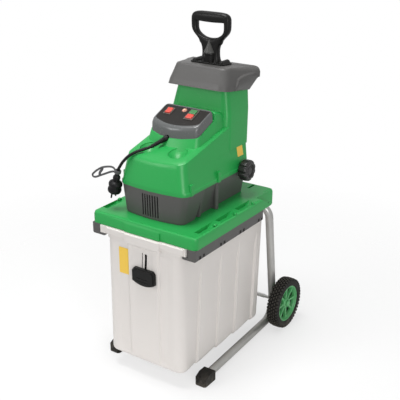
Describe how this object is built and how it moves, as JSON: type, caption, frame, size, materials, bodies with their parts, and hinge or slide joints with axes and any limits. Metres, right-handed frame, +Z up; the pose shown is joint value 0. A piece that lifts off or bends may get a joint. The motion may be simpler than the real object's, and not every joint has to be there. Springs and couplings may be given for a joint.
{
  "type": "garden shredder",
  "caption": "Electric garden shredder: hopper with a push-down plunger over a geared cutter drum, on a wheeled tube stand with a sliding collection bin.",
  "frame": {"origin": "on the floor, under the middle of the machine", "axes": "+Z up, -Y the front with the control panel and the bin's latch, +X the side with the adjuster knob"},
  "size_m": [0.4239, 0.596, 1.0294],
  "materials": {
    "green_plastic": "semi-gloss moulded",
    "grey_plastic": "fine-grained moulded",
    "black_plastic": "moulded",
    "bin_plastic": "pale moulded",
    "tube_steel": "silver-grey powder coat",
    "bright_steel": "turned and zinc plated",
    "cast_alloy": "as cast",
    "tyre_rubber": "moulded",
    "cord_rubber": "smooth",
    "strap_rubber": "smooth",
    "red_key": "smooth",
    "green_key": "smooth",
    "pale_plastic": "smooth"
  },
  "bodies": {
    "stand": {"deck": "green_plastic", "rail_left": "grey_plastic", "rail_right": "grey_plastic", "frame_tube_left": "tube_steel", "frame_tube_right": "tube_steel", "foot_left": "black_plastic", "foot_right": "black_plastic", "frame_bolts": "bright_steel", "axle": "bright_steel", "wheel_spacers": "black_plastic", "axle_caps": "black_plastic", "safety_switch": "black_plastic", "motor_base": "grey_plastic", "motor_cowl": "green_plastic", "cowl_screws": "bright_steel", "hopper_hood": "grey_plastic", "panel_bezel": "grey_plastic", "panel_plate": "black_plastic", "direction_switch": "black_plastic", "power_switch": "black_plastic", "overload_breaker": "black_plastic", "cutter_housing": "cast_alloy", "drum_bearing_front": "bright_steel", "drum_bearing_rear": "bright_steel", "gearbox_case": "cast_alloy", "gearbox_cover": "cast_alloy", "motor_can": "bright_steel", "motor_end_shield": "cast_alloy", "motor_stator": "bright_steel", "capacitor": "bright_steel", "cord_gland": "cord_rubber", "power_cord": "cord_rubber", "plug": "cord_rubber", "cord_strap": "strap_rubber"},
    "bin": {"bin": "bin_plastic"},
    "latch": {"bin_latch": "black_plastic"},
    "pusher": {"pusher": "black_plastic"},
    "wheel_left": {"wheel_hub_left": "green_plastic", "tyre_left": "tyre_rubber"},
    "wheel_right": {"wheel_hub_right": "green_plastic", "tyre_right": "tyre_rubber"},
    "adjuster": {"adjuster_knob": "black_plastic", "adjuster_screw": "bright_steel"},
    "press": {"pressing_plate": "cast_alloy"},
    "cutter": {"cutter_drum": "bright_steel", "drum_shaft": "bright_steel", "drum_gear": "bright_steel"},
    "intermediate": {"intermediate_gear": "bright_steel"},
    "rotor": {"motor_rotor": "bright_steel", "cooling_fan": "black_plastic"},
    "rocker": {"direction_rocker": "red_key"},
    "on_key": {"on_button": "green_key"},
    "off_key": {"off_button": "red_key"},
    "reset_key": {"reset_button": "pale_plastic"}
  },
  "joints": [
    {"name": "bin_slide", "type": "slide", "parent": "stand", "child": "bin", "axis": [0, -1, 0], "range_m": [0, 0.46]},
    {"name": "latch_slide", "type": "slide", "parent": "bin", "child": "latch", "axis": [0, 0, 1], "range_m": [0, 0.038]},
    {"name": "pusher_lift", "type": "slide", "parent": "stand", "child": "pusher", "axis": [0, 0, 1], "range_m": [0, 0.3]},
    {"name": "wheel_left_spin", "type": "hinge", "parent": "stand", "child": "wheel_left", "pos_m": [0, 0.214, 0.084], "axis": [1, 0, 0], "continuous": true},
    {"name": "wheel_right_spin", "type": "hinge", "parent": "stand", "child": "wheel_right", "pos_m": [0, 0.214, 0.084], "axis": [1, 0, 0], "continuous": true},
    {"name": "knob_turn", "type": "hinge", "parent": "stand", "child": "adjuster", "pos_m": [0, 0.055, 0.58], "axis": [1, 0, 0], "range_deg": [0, 720]},
    {"name": "press_slide", "type": "slide", "parent": "stand", "child": "press", "axis": [-1, 0, 0], "range_m": [0, 0.003]},
    {"name": "cutter_spin", "type": "hinge", "parent": "stand", "child": "cutter", "pos_m": [-0.015, 0, 0.575], "axis": [0, 1, 0], "continuous": true},
    {"name": "intermediate_spin", "type": "hinge", "parent": "stand", "child": "intermediate", "pos_m": [0.00085, 0, 0.63416], "axis": [0, 1, 0], "continuous": true},
    {"name": "motor_spin", "type": "hinge", "parent": "stand", "child": "rotor", "pos_m": [0.00845, 0, 0.59108], "axis": [0, 1, 0], "continuous": true},
    {"name": "rocker_tip", "type": "hinge", "parent": "stand", "child": "rocker", "pos_m": [-0.049, -0.07881, 0.76215], "axis": [1, 0, 0], "range_deg": [-8, 8]},
    {"name": "on_press", "type": "slide", "parent": "stand", "child": "on_key", "axis": [0, 0.3827, -0.9239], "range_m": [0, 0.003], "stiffness_N_per_m": 400, "springref_m": -0.0005},
    {"name": "off_press", "type": "slide", "parent": "stand", "child": "off_key", "axis": [0, 0.3827, -0.9239], "range_m": [0, 0.003], "stiffness_N_per_m": 400, "springref_m": -0.0005},
    {"name": "reset_press", "type": "slide", "parent": "stand", "child": "reset_key", "axis": [0, 0.3827, -0.9239], "range_m": [0, 0.003], "stiffness_N_per_m": 400, "springref_m": -0.0005}
  ],
  "couplings": [
    {"joint": "press_slide", "follows": "knob_turn", "m_per_rad": 0.00023873},
    {"joint": "intermediate_spin", "follows": "cutter_spin", "ratio": -6},
    {"joint": "motor_spin", "follows": "cutter_spin", "ratio": 36}
  ]
}
